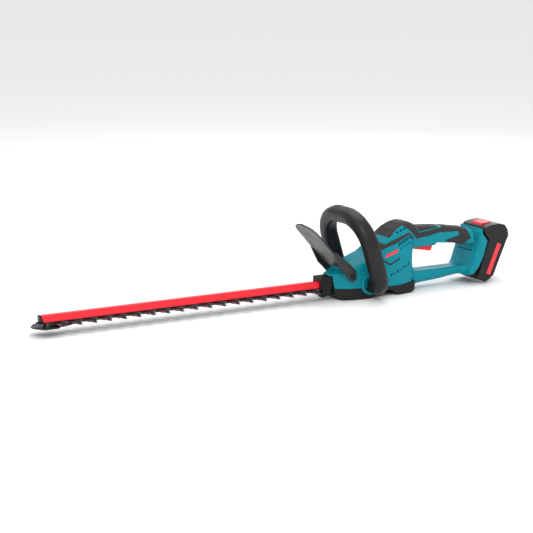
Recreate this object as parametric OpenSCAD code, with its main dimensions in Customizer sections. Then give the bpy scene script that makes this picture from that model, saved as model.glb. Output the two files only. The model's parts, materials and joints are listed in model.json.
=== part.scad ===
// Cordless hedge trimmer with a double-sided blade, a front loop handle, a rear grip and a slide-on battery.
// X runs from the blade tip (-) to the battery (+), Y across, Z up from the surface it stands on.

/* [Blade] */
// Distance from one tooth to the next
tooth_pitch = 29; // [26:0.5:32]
// Teeth along one side of a blade
tooth_count = 19; // [12:1:20]
// Half the blade's width over the tooth tips
tooth_reach = 27; // [24:0.5:30]
// Half the width of the blade's solid spine
spine_half = 9; // [8:0.5:10]
// Thickness of each blade
blade_t = 2; // [1.6:0.1:2]
// How far the lower blade's teeth sit behind the upper blade's at rest
blade_offset = 10; // [6:0.5:14]
// Height of the plane where the two blades meet
blade_z = 20.4; // [20:0.1:21]

/* [Drive] */
// Throw of each drive cam, half of the blade's full stroke
cam_throw = 8; // [6:0.5:8]
// Radius of each drive cam
cam_r = 12; // [11:0.5:12]
// Radius of the crank shaft
crank_r = 4; // [3.5:0.5:4]
// Gear tooth module
gear_module = 1.25; // [1.25]
// Teeth on the drive gear
gear_teeth = 55; // [55]
// Teeth on the motor pinion
pinion_teeth = 11; // [11]
// Outer radius of the motor can
motor_r = 19; // [17:0.5:19]

/* [Housing] */
// Half the width of the motor housing
body_half = 41; // [41:0.5:43]
// Half the width of the rear grip
grip_half = 19; // [18:0.5:20]
// Half the width of the battery holder
holder_half = 39; // [38:0.5:40]
// Wall thickness of the moulded shells
wall = 2.6; // [2.2:0.1:3]
// Clearance between pieces that are screwed or clipped together
gap = 0.3; // [0.25:0.05:0.4]

/* [Front handle] */
// Distance from the middle plane to the centre of a handle leg
leg_y = 75; // [72:1:78]
// Forward lean of the handle, in degrees
handle_lean = 17; // [14:1:20]
// Slant height of the handle's top bar above its foot pivot
handle_rise = 139; // [132:1:140]
// Bend radius of the handle's two shoulders
shoulder_r = 60; // [52:1:64]

/* [Battery] */
// Backward tilt of the battery's slide direction, in degrees
slide_tilt = 20; // [20]
// Half the width of the battery
pack_half = 38; // [37:0.5:38]
// Radius of one cell
cell_r = 9.1; // [9:0.1:9.2]

/* [Hidden] */
$fn = 48;
teal = [0, 0.53, 0.58];
ink = [0.07, 0.07, 0.07];
slate = [0.22, 0.21, 0.22];
signal_red = [0.9, 0.1, 0.12];
steel = [0.6, 0.61, 0.63];
dark_steel = [0.25, 0.26, 0.28];
copper = [0.8, 0.5, 0.25];

// Reference point on the battery holder's front face
holder_x = 872.5;
holder_z = 20;

// Battery's side outline in the slide direction's frame, X backwards and Z upwards
pack_side = [[24, 3], [30, 1.5], [45, -1.5], [53, 6], [59.5, 17], [64.5, 86], [66, 102], [60, 112],
    [49, 119.5], [34, 117.5], [14, 108], [6, 101.5], [6, 93], [24, 81]];

// Both ends of the whole tool, measured from the first tooth
tip_x = -45;
tail_x = max([for (p = pack_side) holder_x + p.x * cos(slide_tilt) + p.y * sin(slide_tilt)]);
mid_x = (tip_x + tail_x) / 2;

// Places along the drive
gear_x = 668;
mesh_distance = gear_module * (gear_teeth + pinion_teeth) / 2;
motor_x = gear_x + mesh_distance;
pressure_angle = 25;
backlash = 0.35;
gear_bottom = 28;
gear_height = 8;
motor_bottom = 46;
motor_top = 100;

// Blade stack, upwards from the blade plane
sheet_gap = 0.15;
upper_bottom = blade_z + sheet_gap;
lower_bottom = blade_z - sheet_gap - blade_t;
guide_bottom = upper_bottom + blade_t + gap;
guide_t = 2;
bar_bottom = guide_bottom + guide_t + 0.1;
bar_height = 12.5;
bar_half_low = 8.5;
bar_half_top = 4.5;
bar_start = -28;
bar_end = 600;
bolt_r = 2.5;
bolt_x = [for (n = [1, 5, 10, 15]) (n + 0.5) * tooth_pitch];
tip_bolt_x = [-20, 16];
nose_bolt_x = 556;
slot_half = cam_throw + bolt_r + 0.8;

// Foot pivot of the front handle
foot_x = 641;
foot_z = 30;
leg_deep = 16;
foot_deep = 13;
leg_wide = 14;

// Moves a piece from tooth coordinates to the tool's own origin
module place() translate([-mid_x, 0, 0]) children();

// Draws a side outline of points [x, z] as a plate from y0 to y1
module side_plate(points, y0, y1)
    translate([0, y1, 0]) rotate([90, 0, 0]) linear_extrude(y1 - y0) polygon(points);

// Draws a top outline of points [x, y] as a plate from z0 to z1
module top_plate(points, z0, z1) translate([0, 0, z0]) linear_extrude(z1 - z0) polygon(points);

// Mirrors its children to both sides of the middle plane
module both_sides() {
    children();
    mirror([0, 1, 0]) children();
}

// Moves an outline's edges inwards by d, for an outline drawn anticlockwise
function unit(v) = v / norm(v);
function inset(p, d) = [for (i = [0:len(p) - 1]) let(
    a = unit(p[i] - p[(i + len(p) - 1) % len(p)]),
    b = unit(p[(i + 1) % len(p)] - p[i]),
    na = [-a.y, a.x], nb = [-b.y, b.x])
    p[i] + d * (na + nb) / (1 + na * nb)];

// Points of an arc about c, from angle a0 to a1
function arc(c, r, a0, a1, n = 8) = [for (i = [0:n])
    let(a = a0 + (a1 - a0) * i / n)
    c + r * [cos(a), sin(a)]];

// Outline of a rectangle with rounded corners, centred on c
function round_rect(c, hx, hy, r, n = 5) = concat(
    arc(c + [hx - r, hy - r], r, 0, 90, n),
    arc(c + [-hx + r, hy - r], r, 90, 180, n),
    arc(c + [-hx + r, -hy + r], r, 180, 270, n),
    arc(c + [hx - r, -hy + r], r, 270, 360, n));

// Side outline of the housing, from the nose's lower corner anticlockwise
housing_side = [[571, 23], [616, 23], [681, 20], [705, 20], [747, 24], [747, 8], [757, 7], [764, 11.5],
    [820, 15.2], [868, 21], [884, 24], [897, 60], [905, 98], [902, 109], [888, 112], [855, 117.5],
    [828, 122], [793, 125], [766, 126.5], [754, 132.5], [742, 138.5], [729, 140.5], [716, 137.5],
    [701, 128], [687, 114.5], [668, 95], [651, 82.5], [615, 68.5], [582, 57], [561, 49.5]];
// Opening of the rear grip
grip_window = [[760, 38], [879, 38], [894.5, 80.5], [870, 83], [810, 89], [806, 84.5], [758, 84.5],
    [748, 83.5], [745.5, 67], [749, 47]];
// Battery holder's side outline, in the slide direction's frame
holder_side = [[0, 1], [12, 5.5], [19.5, 23], [22.7, 47], [21, 78], [4, 89], [0, 97.5]];

module holder_frame() translate([holder_x, 0, holder_z]) rotate([0, slide_tilt, 0]) children();

// Widths seen from above
housing_plan = [[560, -17], [573, -21], [600, -36], [628, -body_half], [706, -body_half], [738, -34],
    [752, -grip_half - 3], [770, -grip_half], [862, -grip_half], [890, -grip_half - 12],
    [890, grip_half + 12], [862, grip_half], [770, grip_half], [752, grip_half + 3], [738, 34],
    [706, body_half], [628, body_half], [600, 36], [573, 21], [560, 17]];
// Widths seen from the front, which narrow to the top of the motor hump
housing_front = [[-44, 0], [44, 0], [44, 62], [36, 100], [26, 130], [17, 143], [-17, 143], [-26, 130],
    [-36, 100], [-44, 62]];

module housing_block(d) {
    intersection() {
        side_plate(inset(housing_side, d), -50, 50);
        top_plate(inset(housing_plan, d), -10, 160);
        translate([500, 0, 0]) rotate([90, 0, 90]) linear_extrude(500) polygon(inset(housing_front, d));
    }
    holder_frame() side_plate(inset(holder_side, d), -holder_half + d, holder_half - d);
}

module grip_core() side_plate(inset(grip_window, -wall), -60, 60);

cap_side = [[676, 160], [680, 112], [690, 114.5], [696, 119.5], [702, 124.5], [710, 129.5], [722, 133.4],
    [742, 119], [756.5, 106], [756.5, 160]];

module motor_cap_zone(d) side_plate(inset(cap_side, d), -60, 60);

// Pocket of the rear sleeve around the grip's end
sleeve_side = [[847.4, 130], [847.4, 109.2], [861, 108.6], [861.5, 100], [829, 93], [836, 88], [868, 80],
    [884, 94.5], [877.5, 107.5], [878, 130]];

module housing_shell() difference() {
    housing_block(0);
    difference() {
        housing_block(wall);
        grip_core();
    }
    side_plate(grip_window, -60, 60);
    motor_cap_zone(0);
    holder_hollow();
    // Passage of the blades and the drive
    translate([500, -12, 14]) cube([112, 24, 13]);
    translate([612, -31, 14]) cube([118, 62, 13]);
    translate([555, -19, 10]) cube([22, 38, 39.5]);
    // Trigger slot and pin bores
    translate([754, -9, 80]) cube([55.5, 18, 14]);
    translate([trigger_pivot.x, 0, trigger_pivot.y]) rotate([90, 0, 0])
        cylinder(h = 24, r = 1.55, center = true);
    // Guard screw bores
    translate([guard_foot.x, 0, guard_foot.y]) rotate([90, 0, 0])
        cylinder(h = 90, r = 2.1, center = true);
    // Handle foot bores
    translate([foot_x, 0, foot_z]) rotate([90, 0, 0]) cylinder(h = 120, r = 4.2, center = true);
    screw_bores(housing_screw_places, 1.7);
    // Grip pad and trim recesses
    grip_pad_zone(gap);
    sleeve_zone(gap);
    both_sides() trim_strip(gap);
    both_sides() badge_plate(0.1);
    both_sides() vents();
}

// Space that the battery's rails, the terminal block and the front of the battery take up
module holder_hollow() holder_frame() {
    translate([8, -holder_half + wall, 1]) cube([40, 2 * (holder_half - wall), 140]);
    translate([wall, -holder_half + 2 * wall, 4]) cube([6, 2 * (holder_half - 2 * wall), 84]);
}

housing_screw_places = [[588, 47], [652, 60], [740, 60], [759, 20], [843, 30], [770, 118], [868, 100]];

module screw_bores(places, r) for (p = places)
    translate([p.x, 60, p.y]) rotate([90, 0, 0]) cylinder(h = 77, r = r);

// Screw pillars on the middle plane
module screw_pillars(y0, y1) for (p = housing_screw_places)
    translate([p.x, y1, p.y]) rotate([90, 0, 0]) cylinder(h = y1 - y0, r = 3.6);

// One ventilation slot through the left wall, leaning backwards
module slot(x, z, wide, long) translate([x, -50, z]) rotate([0, 32, 0]) cube([wide, 34, long]);

module top_vents() for (i = [0:2]) slot(705 + 8.4 * i, 120.5 + 2.8 * i, 3.6, 5);

module vents() {
    top_vents();
    for (i = [0:4]) slot(705 + 6.8 * i, 96.5 + 2.9 * i, 3.2, 9);
    for (i = [0:3]) slot(710 + 6.8 * i, 90.5 + 2.9 * i, 2.8, 3);
    for (i = [0:6]) slot(685 + 7 * i, 40 + 2.9 * i, 2.8, i % 2 == 0 ? 6 : 3.5);
}

// The raised seats of the front handle's feet
module foot_collar() translate([foot_x - 3, -body_half + 1, foot_z - 1]) rotate([90, 0, 0])
    difference() {
        cylinder(h = 4.6, r = 20);
        translate([0, 0, -1]) cylinder(h = 10, r = 14.3);
    }

module housing_half(side) {
    intersection() {
        union() {
            difference() {
                union() {
                    housing_shell();
                    intersection() {
                        housing_block(1);
                        difference() {
                            screw_pillars(-45, 45);
                            motor_cap_zone(0);
                        }
                    }
                }
                screw_bores(housing_screw_places, 1.7);
                side_plate(grip_window, -60, 60);
                holder_hollow();
                sleeve_zone(gap);
                grip_pad_zone(gap);
            }
            mirror([0, side < 0 ? 0 : 1, 0]) foot_collar();
        }
        translate([500, side < 0 ? -60 : 0.1, -5]) cube([480, 59.9, 170]);
    }
}

module housing_left() color(teal) place() housing_half(-1);

module housing_right() color(teal) place() housing_half(1);

// Black sole that closes the drive from below and carries the tool's two resting feet
base_side = [[567, 22.7], [571, 12], [584, 0], [640, 0], [655, 4], [674, 11.5], [690, 11.5], [704, 2],
    [708, 0], [736, 0], [746.7, 6], [746.7, 23.6], [705, 19.6], [681, 19.6], [616, 22.7]];
base_plan = [[560, -19], [575, -24], [602, -34], [630, -38.5], [706, -38.5], [750, -33], [750, 33],
    [706, 38.5], [630, 38.5], [602, 34], [575, 24], [560, 19]];
base_screw_places = [[596, -20], [596, 20], [726, -20], [726, 20]];

module base_cover() color(ink) place() {
    difference() {
        intersection() {
            side_plate(base_side, -40, 40);
            top_plate(base_plan, -1, 40);
        }
        difference() {
            intersection() {
                side_plate([[575, 40], [575, 12], [586, wall], [639, wall], [655, 6.8], [674, 14],
                    [691, 14], [708, wall], [735, wall], [744, 8], [744, 40]], -40, 40);
                top_plate(inset(base_plan, wall), -1, 50);
            }
            for (p = base_screw_places) translate([p.x, p.y, 0]) cylinder(h = 30, r = 4.5);
        }
        translate([540, -17, 2.8]) cube([40, 34, 40]);
        for (p = base_screw_places) translate([p.x, p.y, -1]) {
            cylinder(h = 30, r = 1.7);
            cylinder(h = 5, r = 3.4);
        }
        translate([gear_x, 0, 5]) cylinder(h = 20, r = 8.05);
    }
    difference() {
        translate([gear_x, 0, 11.6]) cylinder(h = 5.4, r = 11);
        translate([gear_x, 0, 13.6]) cylinder(h = 10, r = 8.05);
    }
}

// Block that clamps the blade assembly at the housing's mouth
module nose_block() color(ink) place() difference() {
    union() {
        translate([543, -14.6, 12]) cube([28, 29.2, 34]);
        for (i = [0:2]) translate([547 + 8 * i, -15.6, 14]) cube([3, 31.2, 30]);
        translate([546, -12, 9.4]) cube([24, 24, 4]);
        translate([nose_bolt_x, 0, 6.4]) cylinder(h = 8, r = 8);
    }
    translate([530, -9 - gap, bar_bottom - guide_t - 0.4]) cube([60, 2 * (9 + gap), bar_height + 3]);
    translate([530, -28, lower_bottom - 0.6]) cube([17, 56, 2 * blade_t + 1.5]);
    translate([530, -9.6, lower_bottom - 0.6]) cube([60, 19.2, 2 * blade_t + 1.5]);
    translate([nose_bolt_x, 0, 0]) cylinder(h = 60, r = 2.1);
}

// Grey cap over the top of the motor
module motor_cap() color(slate) place() difference() {
    intersection() {
        housing_block(0);
        motor_cap_zone(gap);
    }
    housing_block(wall);
    both_sides() top_vents();
}

// Soft pad around the top of the rear grip
pad_side = [[757, 103], [770, 104.5], [784, 105.3], [812, 110.3], [847, 109], [847, 140], [757, 140]];
// Stripe of the shell that shows between the pad's two parts
stripe_side = [[748, 136], [765.5, 113.4], [799, 117.6], [832, 125], [832, 128], [799, 120.2],
    [766.5, 116], [750, 138]];

module grip_pad_zone(d) intersection() {
    side_plate(inset(pad_side, -d), -50, 50);
    difference() {
        translate([700, -60, 80]) cube([160, 120, 60]);
        side_plate(inset(stripe_side, d), -70, 70);
    }
    difference() {
        translate([700, -50, 80]) cube([160, 100, 60]);
        housing_block(1.2 + d);
    }
}

module grip_pad() color(slate) place() intersection() {
    housing_block(0);
    grip_pad_zone(0);
}

module sleeve_zone(d) intersection() {
    side_plate(inset(sleeve_side, -d), -50, 50);
    difference() {
        translate([800, -50, 60]) cube([100, 100, 80]);
        housing_block(1.2 + d);
    }
}

module rear_sleeve() color(slate) place() intersection() {
    housing_block(0);
    sleeve_zone(0);
}

// Grey strips let into the housing's sides
trim_side = [[653, 89], [700, 101.6], [733.6, 115], [745, 103], [749, 104.5], [735.5, 119.3], [698, 108.5],
    [652, 96]];
check_side = [[668, 70], [685, 60.5], [708, 71], [708, 73.5], [685, 63.5], [669.5, 73]];

module trim_strip(d) difference() {
    union() {
        side_plate(inset(trim_side, -d), -50, 0);
        side_plate(inset(check_side, -d), -50, 0);
    }
    housing_block(1.2 + d);
}

// Plain plates let into the housing's sides, in place of lettering
badge_side = [[674, 76], [703, 84.5], [706, 91], [677, 82.5]];

module badge_plate(d) difference() {
    side_plate(inset(badge_side, -d), -50, 0);
    housing_block(0.8 + d);
}

module side_trim() intersection() {
    housing_block(0);
    trim_strip(0);
}

module side_trim_left() color(slate) place() side_trim();

module side_trim_right() color(slate) place() mirror([0, 1, 0]) side_trim();

module badges() color(signal_red) place() both_sides() intersection() {
    housing_block(0);
    badge_plate(0);
}

// Frame of the front handle: X is across the tool, Y along its slanted height, Z backwards
module handle_frame() translate([foot_x, 0, foot_z]) rotate([0, -handle_lean, 0])
    rotate([90, 0, 90]) children();

function section(d) = round_rect([0, 0], leg_wide - d, leg_deep - d, 9 - d);

// One piece bent along the handle's legs, shoulders and top bar; its child is the cross section
module handle_sweep(low) {
    straight = leg_y - shoulder_r;
    for (m = [0, 1]) mirror([m, 0, 0]) {
        translate([leg_y, low, 0]) rotate([-90, 0, 0]) linear_extrude(handle_rise - shoulder_r - low) children();
        translate([straight, handle_rise - shoulder_r, 0]) rotate_extrude(angle = 90)
            translate([shoulder_r, 0]) children();
        translate([0, handle_rise, 0]) rotate([90, 0, 90]) linear_extrude(straight) children();
    }
}

module handle_solid(d) {
    handle_sweep(17) polygon(section(d));
    both_handle_sides() translate([0, 0, -foot_deep + d]) linear_extrude(2 * (foot_deep - d))
        polygon(inset_foot(d));
}

// The foot keeps its full height where it meets the leg
function inset_foot(d) = [[61 + d, 18], [61 + d, 12], [57, 11 - d], [45.2 + d, 11 - d],
    [45.2 + d, -13 + d], [52, -19 + d], [66, -19 + d], [77 - d, -14 + d], [85 - d, -4 + d],
    [89 - d, 10], [89 - d, 18]];

module both_handle_sides() {
    children();
    mirror([1, 0, 0]) children();
}

module handle_shell() difference() {
    union() {
        handle_solid(0);
        // Spigots that stand in the housing's bores
        both_handle_sides() translate([36, 0, 0]) rotate([0, 90, 0]) cylinder(h = 12, r = 4);
    }
    intersection() {
        handle_solid(wall);
        translate([-100, -20, -20]) cube([200, 200, 40]);
    }
    // Channel of the switch bar along the inner side of the top
    switch_channel();
    for (p = handle_screw_places) translate([p.x, p.y, 0]) {
        translate([0, 0, -8]) cylinder(h = 60, r = 1.4);
        translate([0, 0, screw_face(p) - 2.3]) cylinder(h = 3.3, r = 2.8);
    }
}

// Rear face of the handle at a screw
function screw_face(p) = p.y < 10 ? foot_deep : leg_deep;

shoulder_mid = [leg_y - shoulder_r * (1 - cos(45)), handle_rise - shoulder_r * (1 - sin(45))];
handle_screw_places = [for (s = [-1, 1], p = [[leg_y, 60], shoulder_mid, [66, -4]]) [s * p.x, p.y]];

module switch_channel() translate([-45, handle_rise - leg_wide - 3, -7.5]) cube([90, 12, 15]);

module handle_pillars() for (p = handle_screw_places)
    translate([p.x, p.y, 2.2 - screw_face(p)]) difference() {
        cylinder(h = 2 * screw_face(p) - 4.4, r = 3.4);
        translate([0, 0, 2.5]) cylinder(h = 60, r = 1.4);
        translate([0, 0, 2 * screw_face(p) - 4.5]) cylinder(h = 1, r = 2.8);
    }

module handle_half(back) handle_frame() intersection() {
    union() {
        handle_shell();
        handle_pillars();
    }
    translate([-100, -50, back ? 0.1 : -40]) cube([200, 230, 39.9]);
}

module handle_front_half() color(ink) place() handle_half(false);

module handle_rear_half() color(ink) place() handle_half(true);

// Safety bar that the front hand squeezes into the handle
module handle_switch_bar() color(slate) place() handle_frame() difference() {
    translate([-44, handle_rise - leg_wide - 2.6, -7]) cube([88, 7.2, 14]);
    for (i = [-6:6]) translate([6 * i - 0.8, handle_rise - leg_wide - 3, -8]) cube([1.6, 1.4, 16]);
}

module handle_switch() color(ink) place() handle_frame()
    translate([-8, handle_rise - leg_wide + 9.4, -4]) cube([16, 8, 8]);

module handle_screws() color(steel) place() handle_frame() for (p = handle_screw_places)
    translate([p.x, p.y, screw_face(p) + 0.1]) mirror([0, 0, 1]) {
        cylinder(h = 20, r = 1.3);
        cylinder(h = 2, r = 2.6);
    }

// Hand guard: a leaning plate with two arms screwed to the nose
guard_lean = 41.5;
guard_foot = [598, 47];
guard_outline = concat(
    [[-40, 20], [40, 20], [41, 44], [39.5, 62], [38.8, 80]],
    arc([16.5, 112], 22, 0, 78, 7),
    [[0, 138]],
    arc([-16.5, 112], 22, 102, 180, 7),
    [[-38.8, 80], [-39.5, 62], [-41, 44]]);
guard_arm = concat(arc(guard_foot, 9, 190, 375, 12), [[605.5, 58.5], [593, 71.7], [576, 86.3],
    [561, 97.5], [553, 97.5], [569, 66], [580, 55.5]]);

module guard_frame() translate([guard_foot.x, 0, guard_foot.y]) rotate([0, -guard_lean, 0])
    rotate([90, 0, 90]) children();

module hand_guard() color(slate) place() difference() {
    union() {
        guard_frame() linear_extrude(3) polygon(guard_outline);
        both_sides() side_plate(guard_arm, -41.6, -38.4);
    }
    translate([guard_foot.x, 0, guard_foot.y]) rotate([90, 0, 0])
        cylinder(h = 100, r = 2.3, center = true);
}

module guard_screws() color(dark_steel) place() both_sides()
    translate([guard_foot.x, -41.7, guard_foot.y]) rotate([90, 0, 0]) {
    cylinder(h = 2.2, r = 4.2);
    translate([0, 0, -9]) cylinder(h = 10, r = 2);
}

// Red stiffening bar above the blades
module bar_section() polygon([[-bar_half_low, 0], [bar_half_low, 0], [bar_half_low, 2.5],
    [bar_half_top, bar_height], [-bar_half_top, bar_height], [-bar_half_low, 2.5]]);

module bar_hollow() polygon([[-6, -1], [6, -1], [6, 2.5], [2.8, bar_height - 2],
    [-2.8, bar_height - 2], [-6, 2.5]]);

module support_bar() color(signal_red) place() difference() {
    translate([bar_start, 0, bar_bottom]) rotate([90, 0, 90]) linear_extrude(bar_end - bar_start)
        bar_section();
    translate([bar_start - 1, 0, bar_bottom]) rotate([90, 0, 90])
        linear_extrude(bar_end - bar_start + 2) bar_hollow();
    // Raked front end
    side_plate([[bar_start - 5, bar_bottom - 1], [bar_start + 4, bar_bottom - 1],
        [bar_start, bar_bottom + 14], [bar_start - 5, bar_bottom + 14]], -10, 10);
}

// Plastic plug in the bar's open end
module bar_end_cap() color(ink) place() {
    difference() {
        translate([bar_start - 4, 0, bar_bottom]) rotate([90, 0, 90]) linear_extrude(9) bar_section();
        side_plate([[bar_start + 3.7, bar_bottom - 1], [bar_start + 20, bar_bottom - 1],
            [bar_start + 20, bar_bottom + 14], [bar_start - 0.3, bar_bottom + 14]], -12, 12);
        side_plate([[bar_start - 9, bar_bottom - 1], [bar_start - 0.6, bar_bottom - 1],
            [bar_start - 4, bar_bottom + 14], [bar_start - 9, bar_bottom + 14]], -12, 12);
    }
    translate([bar_start, -5.4, bar_bottom + 0.6]) cube([14, 10.8, 1.4]);
}

// Dark plate that shields the blade tip
module tip_guard() color(dark_steel) place() difference() {
    top_plate(concat(arc([-25, 0], 20, 130, 230, 8), [[-30, -26], [-2, -25], [2, -18], [30, -9],
        [36, 0], [30, 9], [2, 18], [-2, 25], [-30, 26]]), lower_bottom - 2.6, lower_bottom - 0.6);
    for (x = tip_bolt_x) translate([x, 0, 0]) cylinder(h = 60, r = bolt_r + 0.1);
}

// Flat steel bar that the blades slide under
module guide_bar() color(dark_steel) place() difference() {
    union() {
        top_plate([[bar_start + 4, -9], [bar_end, -9], [bar_end, 9], [bar_start + 4, 9]],
            guide_bottom, guide_bottom + guide_t);
        translate([bar_start - 6, -7, guide_bottom]) cube([12, 14, guide_t]);
    }
    for (x = concat(tip_bolt_x, [nose_bolt_x], bolt_x)) translate([x, 0, 0])
        cylinder(h = 60, r = bolt_r + 0.1);
}

// One tooth, pointing sideways from the spine
function tooth(x, root, tip) = concat(
    [[x - root, spine_half]],
    arc([x, tooth_reach - tip], tip, 160, 20, 5),
    [[x + root, spine_half]]);

// One edge of a blade, from its front end to the yoke's rear end
function blade_edge(shift, root, tip) = concat(
    [[-8 + shift, spine_half]],
    [for (i = [0:tooth_count - 1]) each tooth(i * tooth_pitch + shift, root, tip)],
    [[630, spine_half], [gear_x - 18.7, 26], [gear_x + 18.7, 26], [gear_x + 22, 20]]);

function blade_outline(shift, root, tip) = let(edge = blade_edge(shift, root, tip), n = len(edge))
    concat(edge, [for (i = [n - 1:-1:0]) [edge[i].x, -edge[i].y]]);

yoke_clearance = 0.75;
module blade(shift, root, tip, z) translate([0, 0, z]) linear_extrude(blade_t) difference() {
    polygon(blade_outline(shift, root, tip));
    for (x = concat([tip_bolt_x[1], nose_bolt_x], bolt_x))
        polygon(round_rect([x, 0], slot_half, bolt_r + 0.5, bolt_r + 0.4, 4));
    translate([gear_x, 0]) polygon(round_rect([0, 0], cam_r + yoke_clearance, cam_r + cam_throw + 1, 3, 3));
}

module upper_blade() color(steel) place() blade(0, 7.5, 4, upper_bottom);

module lower_blade() color(steel) place() blade(blade_offset, 6.5, 3.2, lower_bottom);

// Bolts that hold the blades up against the guide bar
module blade_bolts() color(dark_steel) place() {
    for (x = bolt_x) translate([x, 0, 0]) {
        translate([0, 0, lower_bottom - 0.4]) cylinder(h = bar_bottom + 4 - lower_bottom, r = bolt_r);
        translate([0, 0, lower_bottom - 3]) cylinder(h = 2.6, r = 5.5);
    }
    for (x = tip_bolt_x) translate([x, 0, 0]) {
        translate([0, 0, lower_bottom - 2.7]) cylinder(h = 9.2, r = bolt_r);
        translate([0, 0, lower_bottom - 5]) cylinder(h = 2.3, r = 5);
    }
    translate([nose_bolt_x, 0, 4.4]) {
        cylinder(h = 1.9, r = 4);
        cylinder(h = 29.6, r = 2);
    }
}

module blade_nuts() color(steel) place() for (x = bolt_x) translate([x, 0, bar_bottom + 0.1])
    difference() {
    cylinder(h = 3.4, r = 5, $fn = 6);
    translate([0, 0, -1]) cylinder(h = 6, r = bolt_r + 0.03);
}

// Involute gear outline with a gap or a tooth centred on the +X side
function involute(rb, t) = rb * [cos(t) + t * PI / 180 * sin(t), sin(t) - t * PI / 180 * cos(t)];
function roll_to(rb, r) = sqrt(pow(max(r, rb) / rb, 2) - 1) * 180 / PI;
function turn(p, a) = [p.x * cos(a) - p.y * sin(a), p.x * sin(a) + p.y * cos(a)];
function gear_outline(teeth, phase, root_cut) = let(
    rp = gear_module * teeth / 2,
    rb = rp * cos(pressure_angle),
    ra = rp + 0.85 * gear_module,
    rf = rp - root_cut * gear_module,
    tp = roll_to(rb, rp),
    half = 90 / teeth - backlash / rp / 2 * 180 / PI / 2,
    flank_turn = half + tp - pressure_angle,
    flank = [for (i = [0:4]) let(r = max(rb, rf) + (ra - max(rb, rf)) * i / 4) involute(rb, roll_to(rb, r))])
    [for (k = [0:teeth - 1]) let(a = phase + k * 360 / teeth)
        each concat(
            rf < rb ? [turn([rf, 0], a - flank_turn)] : [],
            [for (p = flank) turn(p, a - flank_turn)],
            [for (i = [len(flank) - 1:-1:0]) turn([flank[i].x, -flank[i].y], a + flank_turn)],
            rf < rb ? [turn([rf, 0], a + flank_turn)] : [])];

module drive_gear() color(steel) place() translate([gear_x, 0, gear_bottom]) difference() {
    union() {
        linear_extrude(gear_height) polygon(gear_outline(gear_teeth, 180 / gear_teeth, 1.15));
        cylinder(h = gear_height + 1.6, r = 9);
    }
    translate([0, 0, -1]) cylinder(h = 20, r = crank_r + 0.01);
    for (a = [0:60:300]) rotate(a) translate([21, 0, -1]) cylinder(h = 20, r = 6.5);
}

module crank_shaft() color(steel) place() translate([gear_x, 0, 14]) cylinder(h = 29, r = crank_r);

module cam(side, z, h) translate([gear_x, 0, z]) difference() {
    translate([0, side * cam_throw, 0]) cylinder(h = h, r = cam_r);
    translate([0, 0, -1]) cylinder(h = 20, r = crank_r + 0.01);
}

module upper_cam() color(dark_steel) place() cam(1, upper_bottom - 0.05, blade_t + 0.3);

module lower_cam() color(dark_steel) place() cam(-1, lower_bottom - 0.3, blade_t + 0.3);

module bearing(z, h, r) translate([gear_x, 0, z]) difference() {
    cylinder(h = h, r = r);
    translate([0, 0, -1]) cylinder(h = h + 2, r = crank_r + 0.05);
}

module lower_bearing() color(steel) place() bearing(13.65, 3.6, 8);

module upper_bearing() color(steel) place() bearing(38.6, 4.6, 8);

// Greased box around the gears
module gear_case_plan(d) {
    translate([gear_x, 0]) circle(r = 36.5 + d);
    translate([motor_x, 0]) circle(r = 9.6 + d);
    translate([gear_x, -9.6 - d]) square([motor_x - gear_x, 19.2 + 2 * d]);
}

module gear_case() color("gray") place() difference() {
    translate([0, 0, 24.2]) linear_extrude(14) gear_case_plan(1.6);
    translate([0, 0, 26.2]) linear_extrude(20) gear_case_plan(0);
    translate([gear_x, 0, 10]) cylinder(h = 30, r = crank_r + 1);
}

module gear_case_cover() color("gray") place() difference() {
    union() {
        translate([0, 0, 38.3]) linear_extrude(2.4) gear_case_plan(1.6);
        translate([gear_x, 0, 40.6]) cylinder(h = 4, r = 11);
        translate([motor_x, 0, 40.6]) cylinder(h = 5.2, r = 16);
    }
    translate([gear_x, 0, 30]) cylinder(h = 13.3, r = 8.05);
    translate([motor_x, 0, 30]) cylinder(h = 30, r = 4.2);
}

// Motor, standing upright behind the drive gear
shaft_r = 1.6;
module motor_can() color(steel) place() translate([motor_x, 0, motor_bottom]) difference() {
    cylinder(h = motor_top - motor_bottom, r = motor_r);
    translate([0, 0, 1.6]) cylinder(h = 80, r = motor_r - 1.4);
    translate([0, 0, -1]) cylinder(h = 5, r = shaft_r + 0.05);
}

module motor_magnets() color(ink) place() translate([motor_x, 0, motor_bottom + 6]) difference() {
    cylinder(h = 38, r = motor_r - 1.5);
    translate([0, 0, -1]) cylinder(h = 60, r = motor_r - 4.6);
    translate([-4, -30, -1]) cube([8, 60, 60]);
}

module motor_end_cap() color(ink) place() translate([motor_x, 0, motor_top + 0.1]) difference() {
    union() {
        cylinder(h = 3, r = motor_r);
        cylinder(h = 6, r = 7);
        for (s = [-1, 1]) translate([s * 12 - 2.5, -3, -9]) cube([5, 6, 11]);
    }
    translate([0, 0, -20]) cylinder(h = 40, r = shaft_r + 0.05);
}

module motor_shaft() color(steel) place() translate([motor_x, 0, 27]) cylinder(h = 91, r = shaft_r);

pole_outline = [for (a = [0:72:288]) each [
    turn([8, -3.2], a), turn([10.6, -4.6], a), turn([12.4, -5.4], a), turn([13.4, 0], a),
    turn([12.4, 5.4], a), turn([10.6, 4.6], a), turn([8, 3.2], a)]];

module armature() color(copper) place() translate([motor_x, 0, motor_bottom + 5]) difference() {
    union() {
        linear_extrude(36) polygon(pole_outline);
        translate([0, 0, 30]) cylinder(h = 17, r = 5.5);
    }
    translate([0, 0, -1]) cylinder(h = 60, r = shaft_r + 0.01);
}

module motor_fan() color(ink) place() translate([motor_x, 0, motor_top + 8]) difference() {
    union() {
        cylinder(h = 1.6, r = 17);
        cylinder(h = 8, r = 4);
        for (a = [0:40:320]) rotate(a) translate([3, -0.7, 0.6]) cube([13, 1.4, 6.6]);
    }
    translate([0, 0, -1]) cylinder(h = 20, r = shaft_r + 0.01);
}

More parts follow.
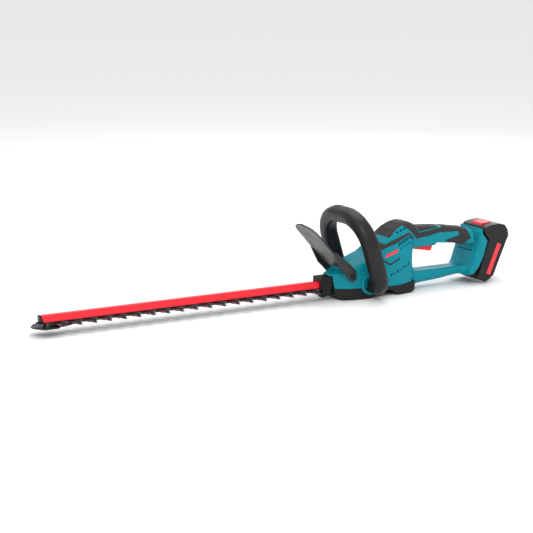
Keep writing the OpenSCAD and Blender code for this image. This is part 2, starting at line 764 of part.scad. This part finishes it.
module pinion() color(dark_steel) place() translate([motor_x, 0, gear_bottom - 0.3]) difference() {
    linear_extrude(gear_height + 0.9) polygon(gear_outline(pinion_teeth, 180, 1.1));
    translate([0, 0, -1]) cylinder(h = 20, r = shaft_r + 0.01);
}

// Trigger, hinged at its front end
trigger_pivot = [761, 87.5];
module trigger() color(signal_red) place() difference() {
    union() {
        side_plate([[757.5, 80.8], [770, 78.6], [785, 75.8], [796, 73.1], [801.8, 73.7], [805.4, 83.4], [804, 91],
            [766, 91], [757.5, 88]], -8, 8);
        translate([trigger_pivot.x, 8, trigger_pivot.y]) rotate([90, 0, 0]) cylinder(h = 16, r = 4.4);
    }
    translate([trigger_pivot.x, 0, trigger_pivot.y]) rotate([90, 0, 0])
        cylinder(h = 40, r = 1.55, center = true);
    translate([786, 0, 85]) cylinder(h = 20, r = 3.6);
}

module trigger_pin() color(steel) place() translate([trigger_pivot.x, 11, trigger_pivot.y])
    rotate([90, 0, 0])
    cylinder(h = 22, r = 1.5);

spring_bottom = 85.4;
spring_top = 101.4;
module trigger_spring() color(steel) place() translate([786, 0, spring_bottom]) difference() {
    cylinder(h = spring_top - spring_bottom, r = 2.8);
    translate([0, 0, -1]) cylinder(h = 40, r = 2.1);
}

module switch_body() color(ink) place() {
    translate([768, -9, 101.8]) cube([36, 18, 12]);
    translate([776, -2.5, 99.6]) cube([4, 5, 3]);
}

module control_board() color([0.1, 0.35, 0.2]) place() {
    translate([812, -11, 101]) cube([34, 22, 1.6]);
    translate([818, -6, 102.6]) cube([14, 12, 6]);
    translate([836, -5, 102.6]) cylinder(h = 8, r = 3.4);
}

// Contact block at the front wall of the battery holder
module terminal_block() color(ink) place() holder_frame() difference() {
    translate([wall + 0.2, -18, 16]) cube([6.6, 36, 48]);
    for (i = [-1.5:1:1.5]) translate([wall + 5, 9 * i - 0.6, 24]) cube([6, 1.2, 60]);
}

module terminal_contacts() color(copper) place() holder_frame() for (i = [-1.5:1:1.5])
    translate([wall + 5.1, 9 * i - 0.5, 26]) cube([8, 1, 24]);

rail_side = [[12, 14], [24, 8], [24, 88], [12, 88]];

module holder_plate(points, y0, y1) holder_frame() side_plate(points, y0, y1);

pack_split = 34;
module pack_solid(d) holder_plate(inset(pack_side, d), -pack_half + d, pack_half - d);

module pack_front(d) holder_frame() translate([0, -60, -60]) cube([pack_split - d, 120, 240]);

module battery_lid() color(ink) place() difference() {
    union() {
        intersection() {
            pack_solid(0);
            pack_front(0.1);
        }
        holder_plate(rail_side, -32, 32);
    }
    difference() {
        pack_solid(2.4);
        holder_frame() translate([-20, -60, -60]) cube([46.4, 120, 240]);
    }
    holder_frame() for (i = [-1.5:1:1.5]) {
        translate([6, 9 * i - 0.9, 0]) cube([24, 1.8, 74]);
        translate([17, 9 * i - 1.8, 19]) cube([12, 3.6, 36]);
    }
    button_pocket();
    pack_screw_bores();
}

module battery_case() color(ink) place() difference() {
    pack_solid(0);
    pack_solid(2.4);
    pack_front(-0.1);
    pack_screw_bores();
    both_sides() pack_badge(0.1);
}

// Plain band let into each side of the battery
pack_badge_side = [[41.5, 15], [51, 15], [55, 80], [45.5, 80]];

module pack_badge(d) holder_plate(inset(pack_badge_side, -d), -pack_half - 1, -pack_half + 0.8 + d);

module battery_badges() color(signal_red) place() both_sides()
    holder_plate(pack_badge_side, -pack_half, -pack_half + 0.8);

pack_screw_places = [[-34.2, 14], [34.2, 14], [-34.2, 78], [34.2, 78]];

module pack_screw_bores() holder_frame() for (p = pack_screw_places)
    translate([10, p.x, p.y]) rotate([0, 90, 0]) cylinder(h = 100, r = 1.2);

module battery_screws() color(steel) place() holder_frame() for (p = pack_screw_places)
    translate([25, p.x, p.y]) rotate([0, 90, 0]) cylinder(h = 28, r = 1.15);

module battery_cells() color("steelblue") place() holder_frame() for (i = [0:4])
    translate([44.5, 32.5, 15.8 + (2 * cell_r + 0.4) * i]) rotate([90, 0, 0])
        cylinder(h = 65, r = cell_r);

module battery_board() color([0.1, 0.35, 0.2]) place() holder_frame() translate([28.2, -24, 14])
    cube([1.6, 48, 58]);

module battery_contacts() color(copper) place() holder_frame() for (i = [-1.5:1:1.5], s = [-1, 1])
    translate([18, 9 * i + s * 1.2 - 0.3, 20]) cube([10, 0.6, 34]);

// Release button on top of the battery
module button_pocket() holder_frame() translate([9.4, -17.6, 91]) cube([21.2, 35.2, 40]);

module battery_button() color(signal_red) place() holder_frame()
    side_plate([[10, 96], [30, 96], [30, 116], [28, 117], [12, 109.6], [10, 107.8]], -17, 17);

// Screws that close the housing, and those that hold the sole
module housing_screws() color(steel) place() for (p = housing_screw_places)
    translate([p.x, 16, p.y]) rotate([90, 0, 0]) cylinder(h = 32, r = 1.6);

module base_screws() color(steel) place() for (p = base_screw_places) translate([p.x, p.y, 1.2]) {
    cylinder(h = 20, r = 1.6);
    cylinder(h = 2.4, r = 3.2);
}

housing_left();
housing_right();
base_cover();
nose_block();
motor_cap();
grip_pad();
rear_sleeve();
side_trim_left();
side_trim_right();
handle_front_half();
handle_rear_half();
handle_switch_bar();
handle_switch();
handle_screws();
hand_guard();
guard_screws();
support_bar();
bar_end_cap();
tip_guard();
guide_bar();
upper_blade();
lower_blade();
blade_bolts();
blade_nuts();
gear_case();
gear_case_cover();
drive_gear();
crank_shaft();
upper_cam();
lower_cam();
lower_bearing();
upper_bearing();
motor_can();
motor_magnets();
motor_end_cap();
motor_shaft();
armature();
motor_fan();
pinion();
trigger();
trigger_pin();
trigger_spring();
switch_body();
control_board();
terminal_block();
terminal_contacts();
battery_case();
battery_badges();
battery_lid();
battery_cells();
battery_board();
battery_button();
battery_contacts();
battery_screws();
housing_screws();
base_screws();
badges();
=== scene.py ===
import json
import math

import bmesh
import bpy
import numpy as np
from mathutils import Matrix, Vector


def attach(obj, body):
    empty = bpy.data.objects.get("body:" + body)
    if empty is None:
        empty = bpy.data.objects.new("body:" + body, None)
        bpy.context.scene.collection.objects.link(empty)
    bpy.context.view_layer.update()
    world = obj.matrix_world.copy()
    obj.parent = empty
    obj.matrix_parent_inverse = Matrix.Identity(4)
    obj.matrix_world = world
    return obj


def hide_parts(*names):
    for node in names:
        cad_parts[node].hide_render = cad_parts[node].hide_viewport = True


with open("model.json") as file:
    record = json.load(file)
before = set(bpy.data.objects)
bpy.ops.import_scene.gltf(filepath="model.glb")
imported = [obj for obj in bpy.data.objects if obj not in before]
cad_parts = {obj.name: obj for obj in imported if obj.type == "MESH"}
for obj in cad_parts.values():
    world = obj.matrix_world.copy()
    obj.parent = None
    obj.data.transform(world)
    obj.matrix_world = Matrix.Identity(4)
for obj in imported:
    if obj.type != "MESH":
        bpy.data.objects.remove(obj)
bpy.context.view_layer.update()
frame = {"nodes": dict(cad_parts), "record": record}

MM = 0.001
# Distance from the first blade tooth to the middle of the tool, along X
MID_X = 0.462203


def at(x, y, z):
    """A point given in millimetres, with X measured from the first blade tooth."""
    return Vector((x * MM - MID_X, y * MM, z * MM))


# ---------------------------------------------------------------- camera and light
def look_from(azimuth, elevation, distance, target, lens):
    """Puts the camera at a distance from its target, at angles in degrees, with a lens in millimetres."""
    a, e = math.radians(azimuth), math.radians(elevation)
    back = Vector((-math.sin(a) * math.cos(e), -math.cos(a) * math.cos(e), math.sin(e)))
    data = bpy.data.cameras.new("camera")
    data.lens = lens
    camera = bpy.data.objects.new("camera", data)
    camera.location = target + back * distance
    camera.rotation_euler = back.to_track_quat("Z", "Y").to_euler()
    bpy.context.scene.collection.objects.link(camera)
    bpy.context.scene.camera = camera


look_from(azimuth=29.9, elevation=11.75, distance=3.4, target=Vector((-0.0305, 0, 0.0777)), lens=122.2)


def soft_box(name, place, aim, size, power):
    """A round lamp of a size in metres and a power in watts, turned towards a point."""
    data = bpy.data.lights.new(name, "AREA")
    data.shape = "DISK"
    data.size = size
    data.energy = power
    lamp = bpy.data.objects.new(name, data)
    lamp.location = place
    lamp.rotation_euler = (Vector(place) - Vector(aim)).to_track_quat("Z", "Y").to_euler()
    bpy.context.scene.collection.objects.link(lamp)


soft_box("key_light", (-0.9, -1.9, 1.9), aim=(0, 0, 0.08), size=1.3, power=28)
soft_box("top_light", (0.5, 0.5, 2.2), aim=(0, 0, 0.05), size=1.6, power=20)
soft_box("rear_light", (1.6, 1.4, 1.0), aim=(0.1, 0, 0.08), size=1.0, power=6)

world = bpy.data.worlds.new("studio")
world.use_nodes = True
sky = world.node_tree.nodes["Background"].inputs
sky["Color"].default_value = (1, 1, 1, 1)
sky["Strength"].default_value = 0.9
bpy.context.scene.world = world
# Colours are shown as they are, without a film curve
bpy.context.scene.view_settings.view_transform = "Standard"


# ---------------------------------------------------------------- materials
class Nodes:
    """A short way to write a material's nodes."""

    def __init__(self, name):
        self.material = bpy.data.materials.new(name)
        self.material.use_nodes = True
        self.tree = self.material.node_tree
        self.shader = self.tree.nodes["Principled BSDF"]
        self.place = self.add("ShaderNodeTexCoord").outputs["Object"]

    def add(self, kind, **inputs):
        node = self.tree.nodes.new(kind)
        for name, value in inputs.items():
            self.set(node, name.replace("_", " "), value)
        return node

    def set(self, node, name, value):
        if hasattr(value, "is_linked"):
            self.tree.links.new(value, node.inputs[name])
        else:
            node.inputs[name].default_value = value

    def noise(self, scale, detail=3.0, stretch=(1, 1, 1)):
        mapping = self.add("ShaderNodeMapping", Vector=self.place, Scale=stretch)
        noise = self.add("ShaderNodeTexNoise", Vector=mapping.outputs[0], Scale=scale, Detail=detail)
        return noise.outputs["Fac"]

    def cells(self, scale):
        return self.add("ShaderNodeTexVoronoi", Vector=self.place, Scale=scale).outputs["Distance"]

    def ramp(self, value, low, high, start=0.35, end=0.65):
        """Spreads a value between start and end over low to high."""
        spread = self.add("ShaderNodeMapRange", Value=value)
        limits = {"From Min": start, "From Max": end, "To Min": low, "To Max": high}
        for name, number in limits.items():
            spread.inputs[name].default_value = number
        return spread.outputs["Result"]

    def mix(self, amount, first, second):
        """A colour between two others; the colour sockets of the node are known by number only."""
        node = self.tree.nodes.new("ShaderNodeMix")
        node.data_type = "RGBA"
        for socket, value in ((0, amount), (6, first), (7, second)):
            if hasattr(value, "is_linked"):
                self.tree.links.new(value, node.inputs[socket])
            else:
                node.inputs[socket].default_value = value
        return node.outputs[2]

    def bump(self, height, strength, depth):
        node = self.add("ShaderNodeBump", Height=height, Strength=strength, Distance=depth)
        previous = self.shader.inputs["Normal"].links
        if previous:
            self.tree.links.new(previous[0].from_socket, node.inputs["Normal"])
        self.tree.links.new(node.outputs["Normal"], self.shader.inputs["Normal"])

    def shade(self, **inputs):
        for name, value in inputs.items():
            self.set(self.shader, name.replace("_", " "), value)
        return self.material


def shaded(colour, factor):
    """A colour made darker or lighter by a factor."""
    return (colour[0] * factor, colour[1] * factor, colour[2] * factor, 1)


def moulded_plastic(name, colour, rough=0.42, grain=2600, depth=0.00006, handled=0.12, gloss=0.3):
    """Satin moulded plastic: a fine spark-eroded texture, and broad patches polished by handling."""
    n = Nodes(name)
    broad = n.noise(26, 2)
    tint = n.mix(n.ramp(broad, 0, 1), shaded(colour, 0.93), shaded(colour, 1.05))
    polish = n.ramp(n.noise(41, 4), rough - handled / 2, rough + handled / 2)
    n.bump(n.cells(grain), 0.35, depth)
    return n.shade(Base_Color=tint, Roughness=polish, Specular_IOR_Level=gloss)


def soft_rubber(name, colour):
    """Overmoulded rubber: matt, with a close pebbled grain and faint dusty scuffs."""
    n = Nodes(name)
    dust = n.ramp(n.noise(60, 6), 0, 0.35, start=0.55, end=0.8)
    tint = n.mix(dust, shaded(colour, 1), shaded(colour, 1.8))
    n.bump(n.cells(1500), 0.6, 0.00012)
    return n.shade(Base_Color=tint, Roughness=n.ramp(n.noise(90), 0.62, 0.8), Specular_IOR_Level=0.3)


def steel(name, colour, rough, stretch=(2, 60, 60), marks=0.00002, metal=1.0):
    """Rolled or ground steel with grinding marks along one direction."""
    n = Nodes(name)
    lines = n.noise(30, 5, stretch)
    tint = n.mix(n.ramp(n.noise(14, 3), 0, 1), shaded(colour, 0.82), shaded(colour, 1.15))
    n.bump(lines, 0.4, marks)
    return n.shade(Base_Color=tint, Roughness=n.ramp(lines, rough - 0.08, rough + 0.08), Metallic=metal)


def painted_bar(name, colour):
    """Bright red coating on an extruded bar: fine draw lines along it, and a thin clear coat."""
    n = Nodes(name)
    lines = n.noise(40, 4, (0.6, 22, 22))
    tint = n.mix(n.ramp(n.noise(9, 3), 0, 1), shaded(colour, 0.9), shaded(colour, 1.06))
    n.bump(lines, 0.3, 0.00004)
    return n.shade(Base_Color=tint, Roughness=n.ramp(lines, 0.3, 0.42), Specular_IOR_Level=0.3,
                   Coat_Weight=0.12, Coat_Roughness=0.25)


def wound_copper(name):
    """Enamelled wire: fine bands across the winding."""
    n = Nodes(name)
    wave = n.add("ShaderNodeTexWave", Vector=n.place, Scale=420.0, Distortion=0.6)
    wave.bands_direction = "Z"
    tint = n.mix(wave.outputs["Fac"], (0.36, 0.13, 0.05, 1), (0.83, 0.4, 0.2, 1))
    n.bump(wave.outputs["Fac"], 0.5, 0.0002)
    return n.shade(Base_Color=tint, Roughness=n.ramp(n.noise(200), 0.25, 0.4), Metallic=0.9)


def circuit_board(name):
    """Green board with paler tracks."""
    n = Nodes(name)
    tracks = n.add("ShaderNodeTexBrick", Vector=n.place, Scale=220.0)
    tint = n.mix(n.ramp(tracks.outputs["Fac"], 0, 1, start=0.2, end=0.8),
                 (0.01, 0.09, 0.045, 1), (0.02, 0.16, 0.08, 1))
    return n.shade(Base_Color=tint, Roughness=n.ramp(n.noise(80), 0.25, 0.4))


def cast_metal(name):
    """Grey casting with a sandy skin."""
    n = Nodes(name)
    tint = n.mix(n.ramp(n.noise(50, 5), 0, 1), (0.33, 0.34, 0.35, 1), (0.5, 0.51, 0.52, 1))
    n.bump(n.noise(900, 4), 0.5, 0.0001)
    return n.shade(Base_Color=tint, Roughness=n.ramp(n.noise(70), 0.45, 0.62), Metallic=0.9)


TEAL = (0.0, 0.225, 0.285)
RED = (0.9, 0.016, 0.025)
# Bright steel for every bevelled blade edge: real grinding on the teeth, and a painted highlight on the spine
# and slot edges
GROUND_EDGE_AND_HIGHLIGHT = steel("ground_edge_and_highlight", (0.42, 0.43, 0.45), 0.3)
FINISH = {
    "teal_plastic": moulded_plastic("teal_plastic", TEAL, gloss=0.16),
    "black_plastic": moulded_plastic("black_plastic", (0.006, 0.006, 0.006), 0.5),
    "grey_rubber": soft_rubber("grey_rubber", (0.029, 0.0255, 0.0275)),
    "handle_plastic": moulded_plastic("handle_plastic", (0.0085, 0.0085, 0.0088), 0.4),
    "guard_plastic": moulded_plastic("guard_plastic", (0.03, 0.03, 0.0305), 0.36, 3000, 0.00004),
    "bright_steel": steel("bright_steel", (0.62, 0.63, 0.64), 0.3),
    "red_bar": painted_bar("red_bar", (0.9, 0.016, 0.03)),
    "dark_steel": steel("dark_steel", (0.035, 0.036, 0.04), 0.42),
    "blade_steel": steel("blade_steel", (0.085, 0.088, 0.095), 0.38),
    "cast_metal": cast_metal("cast_metal"),
    "gear_steel": steel("gear_steel", (0.36, 0.36, 0.38), 0.35, (40, 40, 40)),
    "magnet": steel("magnet", (0.08, 0.08, 0.085), 0.55, (30, 30, 30)),
    "copper": wound_copper("copper"),
    "red_plastic": moulded_plastic("red_plastic", RED, 0.34, 3200, 0.00003),
    "red_print": moulded_plastic("red_print", (0.95, 0.04, 0.055), 0.34, 3600, 0.00002),
    "battery_plastic": moulded_plastic("battery_plastic", (0.0095, 0.009, 0.0095), 0.44, 2000, 0.00008),
    "board": circuit_board("board"),
    "cell_wrap": moulded_plastic("cell_wrap", (0.03, 0.14, 0.36), 0.25, 900, 0.00002),
}


def paint(piece, slot):
    piece.data.materials.clear()
    piece.data.materials.append(FINISH[slot])


for part in frame["record"]["subparts"]:
    paint(frame["nodes"][part["node"]], part["material_slot"])
SLOT_OF = {part["node"]: part["material_slot"] for part in frame["record"]["subparts"]}
BODY_OF = {node: body for body, nodes in frame["record"]["behaviour"]["bodies"].items() for node in nodes}


# ---------------------------------------------------------------- pieces
# Faces that meet at less than this are one flat face; corners nearer a cut than this count as on it
FLAT_WITHIN = math.radians(1.5)
ON_PLANE = 0.000002


def finished(bm, name, slot, body, *nodes, smooth_angle=35):
    """Turns a bmesh in the row frame into a piece that rides on a body and stands for the CAD nodes."""
    mesh = bpy.data.meshes.new(name)
    bm.to_mesh(mesh)
    bm.free()
    piece = bpy.data.objects.new(name, mesh)
    bpy.context.scene.collection.objects.link(piece)
    mesh.shade_smooth()
    mesh.set_sharp_from_angle(angle=math.radians(smooth_angle))
    paint(piece, slot)
    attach(piece, body)
    if nodes:
        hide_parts(*nodes)
    return piece


def merged(node, reach=0.01):
    """A copy of a CAD node's mesh: corners within reach (millimetres) joined, flat faces made whole."""
    bm = bmesh.new()
    bm.from_mesh(frame["nodes"][node].data)
    bmesh.ops.remove_doubles(bm, verts=bm.verts, dist=reach * MM)
    bmesh.ops.dissolve_limit(bm, angle_limit=FLAT_WITHIN, verts=bm.verts, edges=bm.edges)
    return bm


def plane_cut(bm, place, normal, **sides):
    """Cuts a mesh by the plane through a place."""
    whole = bm.verts[:] + bm.edges[:] + bm.faces[:]
    return bmesh.ops.bisect_plane(bm, geom=whole, dist=ON_PLANE, plane_co=place, plane_no=normal, **sides)


def softened(node, width, segments=2, angle=28):
    """A CAD node with its edges rounded over a width in millimetres, as if moulded or deburred."""
    bm = merged(node)
    piece = finished(bm, node + "_finished", SLOT_OF[node], BODY_OF[node], node)
    bevel = piece.modifiers.new("edges", "BEVEL")
    bevel.width = width * MM
    bevel.segments = segments
    bevel.limit_method = "ANGLE"
    bevel.angle_limit = math.radians(angle)
    bevel.harden_normals = True
    return piece


# ---------------------------------------------------------------- moulded housing
# Outlines of the housing in millimetres: from the side, from above and from the front
SIDE = [(571, 23), (616, 23), (681, 20), (705, 20), (747, 24), (747, 8), (757, 7), (764, 11.5),
        (820, 15.2), (868, 21), (884, 24), (897, 60), (905, 98), (902, 109), (888, 112),
        (855, 117.5), (828, 122), (793, 125), (766, 126.5), (754, 132.5), (742, 138.5),
        (729, 140.5), (716, 137.5), (701, 128), (687, 114.5), (668, 95), (651, 82.5),
        (615, 68.5), (582, 57), (561, 49.5)]
PLAN = [(560, 17), (573, 21), (600, 36), (628, 41), (706, 41), (738, 34), (752, 22), (770, 19),
        (862, 19), (890, 31)]
FRONT = [(0, 44), (62, 44), (100, 36), (130, 26), (143, 17)]
# The opening behind the grip, seen from the side
WINDOW = [(760, 38), (879, 38), (894.5, 80.5), (870, 83), (810, 89), (806, 84.5), (758, 84.5),
          (748, 83.5), (745.5, 67), (749, 47)]
# The battery holder along its leaning foot line: backwards and upwards from the foot
HOLDER = [(0, 1), (12, 5.5), (19.5, 23), (22.7, 47), (21, 78), (4, 89), (0, 97.5)]
HOLDER_FOOT = (872.5, 20)
HOLDER_HALF = 39
SLIDE_TILT = math.radians(20)
# Rounding, in millimetres, where two outlines meet
BLOCK_ROUNDING, FRONT_ROUNDING, HOLDER_ROUNDING, JOIN_ROUNDING, WINDOW_ROUNDING = 13, 9, 4, 10, 6
# The sole under the motor stays flat: in front of SOLE_END, up to SOLE_TOP and fading out over SOLE_FADE
SOLE_END, SOLE_TOP, SOLE_FADE = 747, 24, 9
# The rounding moves a point by this much at most, and fades out below this depth
MOST_TRAVEL, SKIN_DEPTH, SKIN_START = 5, 6, 1.6


def mirrored(outline):
    """One half of a symmetrical outline, closed by its mirror image."""
    return outline + [(a, -b) for a, b in reversed(outline)]


def depth_in(outline, a, b):
    """How deep the points (a, b) are inside a closed outline, negative outside it."""
    nearest = np.full(len(a), 1e9)
    inside = np.zeros(len(a), bool)
    for (a0, b0), (a1, b1) in zip(outline, outline[1:] + outline[:1]):
        da, db = a1 - a0, b1 - b0
        along = np.clip(((a - a0) * da + (b - b0) * db) / (da * da + db * db), 0, 1)
        nearest = np.minimum(nearest, np.hypot(a - a0 - along * da, b - b0 - along * db))
        if db:
            inside ^= ((b0 > b) != (b1 > b)) & (a < a0 + (b - b0) * da / db)
    return np.where(inside, nearest, -nearest)


def soft_min(a, b, reach):
    """The smaller of two depths, blended where they differ by less than the reach."""
    overlap = np.maximum(reach - np.abs(a - b), 0)
    return np.minimum(a, b) - (overlap * overlap / (4 * reach) if reach else 0)


def housing_depth(points, roundness):
    """How deep points are inside the housing, its edges rounded (roundness 1) or sharp (roundness 0)."""
    x, y, z = points.T
    block = soft_min(depth_in(SIDE, x, z), depth_in(mirrored(PLAN), x, y), BLOCK_ROUNDING * roundness)
    block = soft_min(block, depth_in(mirrored(FRONT), z, y), FRONT_ROUNDING * roundness)
    forward, up = x - HOLDER_FOOT[0], z - HOLDER_FOOT[1]
    back = forward * math.cos(SLIDE_TILT) - up * math.sin(SLIDE_TILT)
    rise = forward * math.sin(SLIDE_TILT) + up * math.cos(SLIDE_TILT)
    holder = soft_min(depth_in(HOLDER, back, rise), HOLDER_HALF - np.abs(y), HOLDER_ROUNDING * roundness)
    shell = -soft_min(-block, -holder, JOIN_ROUNDING * roundness)
    return soft_min(shell, -depth_in(WINDOW, x, z), WINDOW_ROUNDING * roundness)


def rounded_points(points):
    """Moves points of the sharp-edged housing onto the one with rounded edges, at the same depth."""
    nudge, least_slope = 0.05, 0.3
    goal = housing_depth(points, 0)
    moved = points.copy()
    for _ in range(3):
        depth = housing_depth(moved, 1)
        slope = np.array([housing_depth(moved + step, 1) - depth for step in np.eye(3) * nudge]).T / nudge
        length = np.maximum(np.linalg.norm(slope, axis=1), least_slope)
        moved += slope / (length * length)[:, None] * (goal - depth)[:, None]
    travel = moved - points
    limit = np.minimum(1, MOST_TRAVEL / np.maximum(np.linalg.norm(travel, axis=1), 0.001))
    skin_only = np.clip(SKIN_START - goal / SKIN_DEPTH, 0, 1)
    height = np.clip((points[:, 2] - SOLE_TOP) / SOLE_FADE, 0, 1)
    above_sole = np.where(points[:, 0] < SOLE_END, height, 1)
    return points + travel * (limit * skin_only * above_sole)[:, None]


def cut_into_cells(bm, size):
    """Cuts every face along a grid of planes about size metres apart, so that a flat wall can bend."""
    corners = [v.co for v in bm.verts]
    for axis in range(3):
        low, high = min(c[axis] for c in corners), max(c[axis] for c in corners)
        count = int((high - low) / size)
        for i in range(1, count):
            place, normal = Vector((0, 0, 0)), Vector((0, 0, 0))
            place[axis], normal[axis] = low + (high - low) * i / count, 1
            plane_cut(bm, place, normal)


def moulded(node, cell=4.0):
    """A skin of the housing, cut into cells (millimetres) and rounded at its edges as on a moulding."""
    bm = merged(node, reach=0.04)
    cut_into_cells(bm, cell * MM)
    bmesh.ops.triangulate(bm, faces=bm.faces)
    points = np.array([v.co for v in bm.verts]) / MM + np.array([MID_X / MM, 0, 0])
    for vertex, place in zip(bm.verts, rounded_points(points)):
        vertex.co = at(*place)
    return finished(bm, node + "_moulded", SLOT_OF[node], BODY_OF[node], node)


for node in ("housing_left", "housing_right", "motor_cap", "grip_pad", "rear_sleeve", "side_trim_left",
             "side_trim_right", "badges"):
    moulded(node)


# ---------------------------------------------------------------- front handle
HANDLE_LEAN = math.radians(17)
HANDLE_FOOT = (641, 30)
# The loop's middle line: half its width, its height, the radii of its shoulders and of its lower bends
LEG_Y, RISE, SHOULDER, FOOT_BEND = 75, 139, 60, 16
FOOT_Y, FOOT_RISE = 45.4, 12
GRIP_OUT, GRIP_BACK, FOOT_THINNING = 14, 16, 3
SECTION_POINTS = 40


def in_handle(across, up, back):
    """A point of the leaning handle: across the tool, up along its slant, and backwards from its plane."""
    return at(HANDLE_FOOT[0] + back * math.cos(HANDLE_LEAN) - up * math.sin(HANDLE_LEAN), across,
              HANDLE_FOOT[1] + back * math.sin(HANDLE_LEAN) + up * math.cos(HANDLE_LEAN))


def handle_line():
    """Stations along one side of the loop, from the housing to the middle of the top.

    Each is a point, the direction outwards there, and how much of a foot the station is.
    """
    bend = (LEG_Y - FOOT_BEND, FOOT_RISE)
    crown = (LEG_Y - SHOULDER, RISE - SHOULDER)
    line = [((FOOT_Y, bend[1] - FOOT_BEND), (0, -1), 1.0)]
    for i in range(9):
        t = math.radians(-90 + 90 * i / 8)
        line.append(((bend[0] + FOOT_BEND * math.cos(t), bend[1] + FOOT_BEND * math.sin(t)),
                     (math.cos(t), math.sin(t)), 1 - 0.5 * i / 8))
    for i in range(1, 7):
        line.append(((LEG_Y, bend[1] + (crown[1] - bend[1]) * i / 7), (1, 0), max(0, 0.5 - 0.25 * i)))
    for i in range(19):
        t = math.radians(90 * i / 18)
        line.append(((crown[0] + SHOULDER * math.cos(t), crown[1] + SHOULDER * math.sin(t)),
                     (math.cos(t), math.sin(t)), 0))
    return line


def handle_section(foot):
    """Points (outwards, backwards) around the loop's section: a rounded square, squarer on its inner side."""
    outer_power, inner_power = 2.7, 3.4
    half_out, half_back = GRIP_OUT, GRIP_BACK - FOOT_THINNING * foot
    ring = []
    for i in range(SECTION_POINTS):
        t = 2 * math.pi * i / SECTION_POINTS
        c, s = math.cos(t), math.sin(t)
        power = outer_power if c > 0 else inner_power
        size = (abs(c) ** power + abs(s) ** power) ** (-1 / power)
        ring.append((half_out * size * c, half_back * size * s))
    return ring


def swept(stations):
    """Bridges closed rings of points into one skin and closes its ends."""
    bm = bmesh.new()
    loops = []
    for ring in stations:
        made = bmesh.ops.create_circle(bm, segments=len(ring), radius=0.01)["verts"]
        for vertex, place in zip(made, ring):
            vertex.co = place
        loops.append(sorted({e for v in made for e in v.link_edges}, key=lambda e: e.index))
    for first, second in zip(loops, loops[1:]):
        bmesh.ops.bridge_loops(bm, edges=first + second)
    bmesh.ops.holes_fill(bm, edges=bm.edges, sides=0)
    bmesh.ops.recalc_face_normals(bm, faces=bm.faces)
    return bm


def handle_loop():
    """The whole loop handle as one closed skin."""
    half = handle_line()
    whole = [((-p[0], p[1]), (-n[0], n[1]), f) for p, n, f in half] + list(reversed(half))
    return swept([[in_handle(p[0] + n[0] * out, p[1] + n[1] * out, back)
                   for out, back in handle_section(foot)] for p, n, foot in whole])


def bar_slot(bm):
    """Adds the squeeze bar's pocket inside the loop's top run.

    The walls and the roof are raised from the patch of underside below the bar. That patch itself
    stays, so the pocket is hollow but its mouth is still covered by a skin.
    """
    half_long, half_wide, roof, lowest = 31, 7.3, RISE - 4.8, RISE - 30
    origin = in_handle(0, 0, 0)
    along, up, back = ((in_handle(*step) - origin).normalized()
                       for step in ((1, 0, 0), (0, 1, 0), (0, 0, 1)))
    for normal, half in ((along, half_long), (back, half_wide)):
        for side in (-1, 1):
            plane_cut(bm, origin + normal * half * side * MM, normal)
    underside = []
    for face in bm.faces:
        middle = (face.calc_center_median() - origin) / MM
        if (abs(middle.dot(along)) < half_long and abs(middle.dot(back)) < half_wide
                and lowest < middle.dot(up) < roof):
            underside.append(face)
    raised = bmesh.ops.extrude_face_region(bm, geom=underside)["geom"]
    for vertex in (item for item in raised if isinstance(item, bmesh.types.BMVert)):
        vertex.co += up * (roof * MM - (vertex.co - origin).dot(up))


def handle_half(name, node, side):
    """One shell of the loop handle, in front of its middle plane (side -1) or behind it (side 1)."""
    half_gap = 0.25
    bm = handle_loop()
    bar_slot(bm)
    normal = in_handle(0, 0, 1) - in_handle(0, 0, 0)
    cut = plane_cut(bm, in_handle(0, 0, half_gap * side), normal * side, clear_inner=True)
    rim = [e for e in cut["geom_cut"] if isinstance(e, bmesh.types.BMEdge)]
    bmesh.ops.holes_fill(bm, edges=rim, sides=0)
    bmesh.ops.recalc_face_normals(bm, faces=bm.faces)
    piece = finished(bm, name, "handle_plastic", "body", node, smooth_angle=50)
    bevel = piece.modifiers.new("parting_edge", "BEVEL")
    bevel.width, bevel.segments = 0.5 * MM, 2
    bevel.limit_method, bevel.angle_limit = "ANGLE", math.radians(55)


handle_half("handle_front_shell", "handle_front_half", -1)
handle_half("handle_rear_shell", "handle_rear_half", 1)


# ---------------------------------------------------------------- other CAD pieces with rounded edges
EDGE_WIDTH = {"base_cover": 1.6, "nose_block": 0.7, "hand_guard": 0.9, "handle_switch_bar": 0.8,
              "support_bar": 0.5, "bar_end_cap": 0.5, "tip_guard": 0.4, "guide_bar": 0.3,
              "battery_case": 2.2, "battery_lid": 1.2, "battery_button": 1.4, "trigger": 2.0,
              "guard_screws": 0.4, "handle_screws": 0.2, "blade_bolts": 0.3}
for node, width in EDGE_WIDTH.items():
    softened(node, width)


def ground(node):
    """A blade whose bevelled edges get a bright steel rim: real grinding on the teeth, and a painted
    highlight along the spine and the slots.
    """
    piece = softened(node, 0.7, segments=1, angle=60)
    # Every bevel face takes the bright steel, so spine and slot edges carry a painted highlight
    piece.data.materials.append(GROUND_EDGE_AND_HIGHLIGHT)
    piece.modifiers["edges"].material = 1


ground("upper_blade")
ground("lower_blade")

# ---------------------------------------------------------------- floor
floor_bm = bmesh.new()
bmesh.ops.create_grid(floor_bm, x_segments=1, y_segments=1, size=12)
floor_mesh = bpy.data.meshes.new("floor")
floor_bm.to_mesh(floor_mesh)
floor_bm.free()
floor = bpy.data.objects.new("floor", floor_mesh)
bpy.context.scene.collection.objects.link(floor)
pale = Nodes("pale_floor")
floor.data.materials.append(pale.shade(Base_Color=(0.9, 0.9, 0.9, 1), Roughness=0.9, Specular_IOR_Level=0.1))
